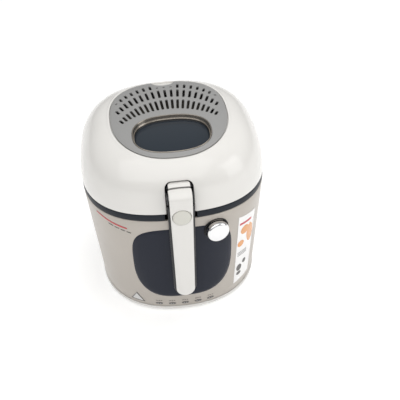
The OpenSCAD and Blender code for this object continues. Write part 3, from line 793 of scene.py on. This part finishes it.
# --- the lid
def lid_boundary():
    """The lid's lower edge with the handle's notch, in the lid's flat coordinates."""
    rim = outline(1, 1, SQUARE_TOP, 720) * S_TABLE[-1]
    front = (rim[:, 1] < 0) & (np.abs(rim[:, 0]) * HALF / S_TABLE[-1] <= NOTCH_W)
    order = np.where(~front)[0]
    gap_at = np.where(front)[0][-1] + 1
    rim = rim[[(gap_at + i) % len(rim) for i in range(len(order))]]
    side_z = np.linspace(LID_BASE + 1 * MM, NOTCH_TOP - NOTCH_R, 24)
    arc = np.linspace(0, math.pi / 2, 8)[1:]
    left = [(-NOTCH_W, z) for z in side_z]
    left += [(-NOTCH_W + NOTCH_R * (1 - math.cos(a)), NOTCH_TOP - NOTCH_R * (1 - math.sin(a))) for a in arc]
    top = [(x, NOTCH_TOP) for x in np.linspace(-NOTCH_W + NOTCH_R, NOTCH_W - NOTCH_R, 14)[1:-1]]
    right = [(-x, z) for x, z in reversed(left)]
    notch = np.array(left + top + right)
    r = np.interp(notch[:, 1], Z_TABLE[::-1], R_TABLE[::-1])
    y = -HALF * (r ** SQUARE_TOP - np.abs(notch[:, 0] / HALF) ** SQUARE_TOP) ** (1 / SQUARE_TOP)
    return np.vstack([rim, unroll(notch[:, 0], y, r)])


def unrolled(loop):
    return unroll(loop[:, 0], loop[:, 1])


def make_lid():
    """The domed shell, the ledge that the filter cover rests on, and the floor of the finger recess."""
    hole = unrolled(even(cover_outline(0.5 * MM), 2 * MM))
    # more points where the ridge round the cover needs them
    close = np.vstack([unrolled(even(cover_outline(d * MM), 2.4 * MM)) for d in (2.3, 3.3, 4.5, 6.5, 9.5)])
    shell = skin(lid_boundary(), [hole], lid_surface, 4 * MM, 2.5 * MM, 1.2 * MM, extra=close, steps=5)
    ledge_outline, ledge_hole = (even(cover_outline(d * MM), 3 * MM) for d in (2.5, -7))
    ledge = skin(ledge_outline, [ledge_hole], over_dome(-2.6 * MM), 4 * MM, 2.2 * MM, 0.4 * MM, steps=2)
    t = np.arange(64) * 2 * math.pi / 64
    pad = np.column_stack([20 * np.cos(t), 88 + 16 * np.sin(t)]) * MM
    pad = pad[pad[:, 1] < 96 * MM]
    finger = skin(even(pad, 2 * MM), [], over_dome(-2.4 * MM), 4 * MM, 2.0 * MM, 0.5 * MM, steps=2)
    add("lid_dome", joined([shell, ledge, finger]), "lid_shell")


def slot_loops():
    """Outlines of the steam slots: three arched rows on rays that fan out from a point in front of the lid.

    The last row has short slots at its ends, and in its middle, where the finger recess is.
    """
    arc = np.linspace(0, math.pi, 7)
    loops = []
    for last, radius, drop, length, loss in FAN_ROWS:
        for k in range(-last, last + 1):
            in_last_row = last == FAN_ROWS[-1][0]
            by_recess = in_last_row and abs(k) < 2
            short = by_recess or in_last_row and abs(k) == last
            reach = (0.3 if short else (length - loss * k * k) / 2 - 1.7) * MM
            middle = (radius - drop * k * k - (4 if by_recess else 0)) * MM
            ends = [(SLOT_HALF * math.cos(a), middle + reach + SLOT_HALF * math.sin(a)) for a in arc]
            ends += [(-SLOT_HALF * math.cos(a), middle - reach - SLOT_HALF * math.sin(a)) for a in arc]
            c, t = math.cos(FAN_STEP * k), math.sin(FAN_STEP * k)
            loops.append(np.array([(c * x + t * y, c * y - t * x + FAN_FOCUS) for x, y in ends]))
    return loops


def make_cover():
    """The slotted cover, with a round finger recess in its rear edge and the window's hole."""
    loop = cover_outline(-0.3 * MM, 480)
    finger_r, finger_y = 17 * MM, 90 * MM
    cut = np.where(np.hypot(loop[:, 0], loop[:, 1] - finger_y) <= finger_r)[0]
    rest = loop[[(cut[-1] + 1 + i) % len(loop) for i in range(len(loop) - len(cut))]]
    first, last = rest[0], rest[-1]
    a0 = math.atan2(last[1] - finger_y, last[0])
    a1 = math.atan2(first[1] - finger_y, first[0])
    if a1 > 0:
        a1 -= 2 * math.pi
    turn = np.linspace(a0, a1, 26)[1:-1]
    arc = np.column_stack([finger_r * np.cos(turn), finger_y + finger_r * np.sin(turn)])
    boundary = even(np.vstack([rest, arc]), 1.8 * MM)
    window = even(window_outline(-0.4 * MM, 240), 1.8 * MM)
    geometry = skin(boundary, [window] + slot_loops(), over_dome(0.25 * MM), 3.2 * MM, 2.0 * MM, 0.45 * MM)
    add("filter_cover_grille", geometry, "filter_cover")


def window_outline(inset, count=200):
    return outline(WINDOW_W - inset, WINDOW_D - inset, WINDOW_SQUARE, count, (0, WINDOW_Y))


def window_ring(p):
    """Ring round the window: p[0] inside its outline and p[1] above the lid's form there."""
    loop = window_outline(p[0])
    return np.column_stack([loop, dome_at(loop[:, 0], loop[:, 1]) + p[1]])


def make_window():
    """The bright rim, the black gasket under it (partly a real gasket, partly painted shade for the recess
    under the rim), the glass, and the well between the glass and the liner.
    """
    lip = [(-0.2, -6), (0.0, -0.5), (0.1, 0.25), (0.45, 0.55), (0.95, 0.5), (1.2, 0.1), (1.35, -0.6),
           (1.7, -3.2), (2.0, -4.9), (2.3, -5.3), (2.9, -5.3), (3.1, -5.6), (3.1, -6.4), (-0.2, -6.4)]
    add("window_bright_rim", sweep(in_mm(lip), window_ring), "window_frame", sharp=50)
    # black gasket under the rim: partly a real gasket, partly painted shade standing in for the shadow of the
    # recess under the rim at the rear
    gasket = [(0.2, -6.5), (3.0, -6.5), (3.4, -8.4), (3.9, -8.9), (6.0, -8.9), (6.0, -11.8), (0.2, -11.8)]
    add("window_gasket_painted_shade", sweep(in_mm(gasket), window_ring), "window_frame", replaces=(), slot="black_plastic",
        sharp=50)
    pane_outline = even(window_outline(3.7 * MM), 2 * MM)
    pane = skin(pane_outline, [], over_dome(-8.3 * MM), 4 * MM, 0.5 * MM, 0.2 * MM, steps=2)
    add("window_pane", pane, "window_glass")
    well_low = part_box("lid_liner")[1].z
    well = [(4.5, 0), (6.2, 0), (6.2, 1), (4.5, 1)]    # inset in mm, and 0 at the foot or 1 at the top

    def well_ring(p):
        loop = window_outline(p[0] * MM)
        top = dome_at(loop[:, 0], loop[:, 1]) - 11.9 * MM
        return np.column_stack([loop, np.full(len(loop), well_low) if p[1] == 0 else top])
    add("window_well", sweep(well, well_ring), "window_frame", replaces=(), slot="sheet_steel")


# --- the handle
LEAN = math.atan2(8.4, 186)         # how far the handle's face leans back towards its foot
CROWN = 0.8 * MM                    # how far the shell's middle stands above its sides
ARC_R = KNUCKLE_R - CROWN
SEAM_LIP = 6.0 * MM                 # how far the white shell reaches back over the knuckle's top
STRAIGHT = SEAM_LIP + ARC_R * (math.pi / 2 + LEAN)  # from the shell's seam to its straight part


def handle_half(s):
    """Half width of the white handle at distance s from its seam."""
    return HANDLE_W - 2 * MM * np.clip(s / (190 * MM), 0, 1)


def handle_surface(q):
    """The shell's outer face over x and the distance from its seam, over the knuckle and straight down."""
    x, s = q[:, 0], q[:, 1]
    angle = math.pi / 2 + np.clip((s - SEAM_LIP) / ARC_R, 0, math.pi / 2 + LEAN)
    back = np.clip(SEAM_LIP - s, 0, None)
    down = np.clip(s - STRAIGHT, 0, None)
    crown = CROWN * (1 - np.clip(np.abs(x) / handle_half(s), 0, 1) ** 2)
    r = ARC_R + crown
    y = PIVOT.y + r * np.cos(angle) + back + down * math.sin(LEAN)
    z = PIVOT.z + r * np.sin(angle) - down * math.cos(LEAN)
    return np.column_stack([x, y, z])


def seam_to(z):
    """Distance from the seam to height z on the straight part."""
    return STRAIGHT + (PIVOT.z - ARC_R * math.sin(LEAN) - z) / math.cos(LEAN)


def handle_loop(grow=0.0, start=0.0):
    """The handle's outline, grown by grow and cut off at distance start from the seam."""
    end = seam_to(HANDLE_BOTTOM) + grow
    r = handle_half(end) + grow
    arc = np.linspace(0, math.pi, 17)
    sides = np.linspace(start + 3 * MM, end - r, 40)
    right = [(handle_half(s) + grow, s) for s in sides]
    low = [(r * math.cos(a), end - r + r * math.sin(a)) for a in arc[1:-1]]
    left = [(-x, s) for x, s in reversed(right)]
    top_w = handle_half(start) + grow
    corner = np.linspace(0, math.pi / 2, 5)
    c = 2 * MM
    head = [(-top_w + c - c * math.cos(a), start + c - c * math.sin(a)) for a in corner]
    head += [(top_w - c + c * math.sin(a), start + c - c * math.cos(a)) for a in corner]
    return np.array(right + low + left + head)


def make_handle():
    t = np.arange(72) * 2 * math.pi / 72
    hole = (BUTTON_R + 0.5 * MM) * np.column_stack([np.cos(t), np.sin(t)]) + [0, seam_to(BUTTON.z)]
    loop = even(handle_loop(), 1.6 * MM)
    # flat coordinates run down the handle, so the surface faces the other way round
    geometry = skin(loop, [hole], handle_surface, 2.6 * MM, 5.6 * MM, 1.4 * MM, facing_out=-1, steps=5)
    add("handle_white_shell", geometry, "handle_shell")
    below_knuckle = STRAIGHT + 11.5 * MM

    def core_surface(q):
        """The straight part of the handle's face, under the white shell."""
        flat = handle_surface(np.column_stack([np.zeros(len(q)), q[:, 1]]))
        flat[:, 0] = q[:, 0]
        flat[:, 1] += (5.7 * MM + CROWN) * math.cos(LEAN)
        return flat
    core_loop = even(handle_loop(2.9 * MM, below_knuckle), 2 * MM)
    core = skin(core_loop, [], core_surface, 4 * MM, 4.6 * MM, 1.0 * MM, facing_out=-1)
    add("handle_core_black", core, "handle_core")
    reach = HANDLE_W - 0.6 * MM
    hole_r, knuckle_r, bevel = 3.1 * MM, 9.5 * MM, 0.7 * MM
    end = [(hole_r, reach), (knuckle_r - bevel, reach), (knuckle_r, reach - bevel)]
    knuckle = [(r, -x) for r, x in end] + end[::-1]
    add("handle_knuckle", lathe(knuckle, PIVOT, (1, 0, 0)), "handle_core", replaces=())
    face_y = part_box("handle_button")[0].y
    r = BUTTON_R - 0.1 * MM
    button = [(0.1 * MM, -0.05 * MM), (r * 0.45, -0.12 * MM), (r * 0.8, -0.4 * MM),
              (r - 0.9 * MM, -0.75 * MM), (r - 0.3 * MM, -1.05 * MM), (r, -1.6 * MM), (r, -4 * MM),
              (0.1 * MM, -4 * MM)]
    add("release_button", lathe(button, (0, face_y, BUTTON.z), (0, -1, 0)), "handle_button")


def cap_outline(half, corner, front, back):
    """Plan of the cap: square at the front and rounded at the back corners."""
    turn = np.linspace(0, math.pi / 2, 8)
    right = [(half - corner + corner * math.cos(a), back - corner + corner * math.sin(a)) for a in turn]
    left = [(-x, y) for x, y in reversed(right)]
    return even(np.array([(-half, front), (half, front)] + right + left), 1.2 * MM)


def make_handle_cap():
    """The white cap over the fork, the black collar it stands on, and the white hollow under its front."""
    low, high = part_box("handle_cap")
    half, front, back = high.x, low.y, high.y - 0.4 * MM
    top = high.z - 0.8 * MM

    def cap_surface(q):
        """Nearly flat, and rolled down to the seam at the front."""
        t = np.clip((q[:, 1] - front) / (9 * MM), -0.05, 1)
        roll = (top - low.z) * (1 - np.sqrt(np.clip(1 - (1 - t) ** 2, 0, 1)))
        return np.column_stack([q[:, 0], q[:, 1], top - roll - 0.6 * MM * (q[:, 0] / half) ** 4])
    cap = skin(cap_outline(half, 5.5 * MM, front, back), [], cap_surface, 2 * MM, 2.4 * MM, 0.7 * MM, steps=4)
    add("handle_cap_white", cap, "handle_cap")

    def collar_surface(q):
        return np.column_stack([q, np.full(len(q), low.z - 0.05 * MM)])
    plan = cap_outline(NOTCH_W - 1.9 * MM, 7 * MM, front + 1.3 * MM, back + 1.6 * MM)
    collar = skin(plan, [], collar_surface, 3 * MM, 1.0 * MM, 0.3 * MM, steps=2)
    add("fork_collar_black", collar, "basket_bracket", replaces=())
    saddle_r = KNUCKLE_R + 1.25 * MM

    def saddle_surface(q):
        """The hollow under the cap's front that the handle turns in."""
        turn = q[:, 1] / saddle_r
        y, z = PIVOT.y + saddle_r * np.cos(turn), PIVOT.z + saddle_r * np.sin(turn)
        return np.column_stack([q[:, 0], y, z])
    low_s, high_s = saddle_r * math.radians(45), saddle_r * math.radians(64)
    plan = even(np.array([(-half, low_s), (half, low_s), (half, high_s), (-half, high_s)]), 1 * MM)
    saddle = skin(plan, [], saddle_surface, 2 * MM, 0.3 * MM, 0.05 * MM, steps=1)
    add("fork_saddle_white", saddle, "basket_bracket", replaces=(), slot="white_gloss")


# --- inside
def make_bowl():
    """The deep-drawn bowl: rounded at the floor, wider upwards, and with a flange that has the arm's slot."""
    outer = [(0.1, 62), (80, 62), (88, 64), (94, 70), (96.5, 80), (101.5, 140), (106.6, 200), (107, 203)]
    inner = [(105.5, 203), (105.1, 200), (100, 140), (95, 80.5), (92.5, 71.5), (86.5, 65.5), (79, 63.5),
             (0.1, 63.5)]
    wall = sweep(in_mm(outer + inner), top_ring(SQUARE_BOWL), closed=False)
    rim = [(105.5, 203), (127.2, 203), (127.2, 204.4), (107, 204.5), (105.9, 204.2), (105.5, 203.7)]
    flange = sweep(in_mm(rim), top_ring(SQUARE_BOWL), slot_half=NOTCH_W)
    add("bowl_pot", joined([wall, flange]), "bowl")


def make_basket():
    """Level rings, upright wires, a floor of crossed wires and a thick rim wire."""
    low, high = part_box("basket")
    wire = 0.9 * MM
    floor_half = 84 * MM
    parts = []

    def half_at(z):
        """Half width of the wires' middle line at height z."""
        t = (z - low.z) / (high.z - low.z)
        return floor_half + (high.x - floor_half) * t - wire
    levels = np.linspace(low.z + 1.5 * MM, high.z - 1 * MM, 15)
    for z in levels:
        ring = even(outline(half_at(z), half_at(z), SQUARE_BOWL, 200), 3 * MM)
        parts.append(tube(np.column_stack([ring, np.full(len(ring), z)]), wire, closed=True, sides=6))
    uprights = 56
    rim = even(outline(1, 1, SQUARE_BOWL, 400), 0.02)
    for k in range(uprights):
        u = rim[int(k * len(rim) / uprights)]
        z = np.linspace(high.z, low.z + 4 * MM, 10)
        wall = [(u[0] * half_at(h), u[1] * half_at(h), h) for h in z]
        parts.append(tube(wall, wire, sides=6))
    inner = half_at(low.z) - 1 * MM
    for x in np.arange(-inner + 8 * MM, inner - 6 * MM, 9 * MM):
        reach = inner * max(1 - abs(x / inner) ** SQUARE_BOWL, 0) ** (1 / SQUARE_BOWL)
        for swap in (False, True):
            ends = [(x, -reach), (x, reach)]
            (x0, y0), (x1, y1) = [(e[1], e[0]) if swap else e for e in ends]
            lift = low.z + (1.2 * MM if swap else 2.8 * MM)
            line = [(x0 + (x1 - x0) * t, y0 + (y1 - y0) * t, lift) for t in np.linspace(0, 1, 6)]
            parts.append(tube(line, wire, sides=6))
    add("basket_wires", joined(parts), "basket", sharp=70)
    rim_low, rim_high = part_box("basket_rim")
    ring = even(outline(rim_high.x - 2 * MM, rim_high.x - 2 * MM, SQUARE_BOWL, 300), 3 * MM)
    middle = np.full(len(ring), (rim_low.z + rim_high.z) / 2)
    rim_wire = tube(np.column_stack([ring, middle]), 1.9 * MM, closed=True, sides=12)
    add("basket_rim_wire", rim_wire, "basket_rim", sharp=70)


# --- floor, lights and camera
def make_stage():
    mesh = bpy.data.meshes.new("floor")
    mesh.from_pydata([(-6, -6, 0), (6, -6, 0), (6, 6, 0), (-6, 6, 0)], [], [(0, 1, 2, 3)])
    floor = bpy.data.objects.new("floor", mesh)
    bpy.context.scene.collection.objects.link(floor)
    material = surface("floor_paper", (0.93, 0.93, 0.925), 0.6, grain=300, shift=0.01, specular=0.2)
    bsdf = material.node_tree.nodes["Principled BSDF"]
    bsdf.inputs["Emission Color"].default_value = (1, 1, 1, 1)
    bsdf.inputs["Emission Strength"].default_value = 0.24
    mesh.materials.append(material)


def area_light(name, place, target, size, power, mirrored=True):
    data = bpy.data.lights.new(name, "AREA")
    data.shape = "RECTANGLE"
    data.size, data.size_y = size
    data.energy = power
    obj = bpy.data.objects.new(name, data)
    bpy.context.scene.collection.objects.link(obj)
    obj.location = place
    obj.rotation_euler = (Vector(target) - Vector(place)).to_track_quat("-Z", "Y").to_euler()
    obj.visible_glossy = mirrored


def make_lights():
    world = bpy.data.worlds.new("studio")
    bpy.context.scene.world = world
    world.use_nodes = True
    tree = world.node_tree
    background = tree.nodes["Background"]
    background.inputs["Strength"].default_value = 0.62
    # the room: bright overhead, darker towards the horizon
    coord = tree.nodes.new("ShaderNodeTexCoord")
    split = tree.nodes.new("ShaderNodeSeparateXYZ")
    shade = tree.nodes.new("ShaderNodeValToRGB")
    shade.color_ramp.elements[0].position = 0.02
    shade.color_ramp.elements[0].color = (0.30, 0.30, 0.31, 1)
    shade.color_ramp.elements[1].position = 0.45
    shade.color_ramp.elements[1].color = (1, 1, 1, 1)
    link(tree, coord.outputs["Generated"], split.inputs["Vector"])
    link(tree, split.outputs["Z"], shade.inputs["Fac"])
    link(tree, shade.outputs["Color"], background.inputs["Color"])
    middle = (0, 0, 0.15)
    area_light("key", (-0.35, -1.1, 1.6), middle, (2.6, 2.0), 16)
    area_light("top", (0.3, 0.3, 1.7), middle, (1.4, 1.0), 10, mirrored=False)
    area_light("fill", (1.3, -0.7, 0.7), middle, (0.8, 1.0), 4)
    scene = bpy.context.scene
    scene.view_settings.view_transform = "Standard"
    scene.view_settings.look = "None"
    scene.view_settings.exposure = 0.0


def make_camera():
    """The photograph's view: from the front and above, turned a little to the left and rolled slightly."""
    data = bpy.data.cameras.new("camera")
    data.sensor_width = 36.0
    data.lens = 60.2
    camera = bpy.data.objects.new("camera", data)
    bpy.context.scene.collection.objects.link(camera)
    pitch, yaw, roll = math.radians(39.485), math.radians(6.323), math.radians(-2.131)
    right = Vector((1, 0, 0))
    up = Vector((0, math.sin(pitch), math.cos(pitch)))
    back = Vector((0, -math.cos(pitch), math.sin(pitch)))
    turned_right = right * math.cos(roll) + up * math.sin(roll)
    turned_up = up * math.cos(roll) - right * math.sin(roll)
    unyaw = Matrix.Rotation(-yaw, 3, "Z")
    axes = Matrix([unyaw @ v for v in (turned_right, turned_up, back)]).transposed()
    camera.matrix_world = Matrix.Translation(Vector((-49.82, -824.63, 800.20)) * MM) @ axes.to_4x4()
    data.clip_start = 0.01
    data.clip_end = 100
    bpy.context.scene.camera = camera


# --- the scene
make_camera()
make_stage()
make_lights()
dress_cad_nodes()
make_casing()
make_base()
make_ring()
make_panel()
make_knob()
make_prints()
make_lid()
make_cover()
make_window()
make_handle()
make_handle_cap()
make_bowl()
make_basket()
for node_name in ("handle_core", "basket_bracket", "hinge_barrel", "hinge_bracket", "power_inlet"):
    soften(node_name, 0.5 * MM)
for node_name in ("rubber_feet", "hinge_screws", "hinge_pin", "handle_pivot"):
    soften(node_name, 0.3 * MM)
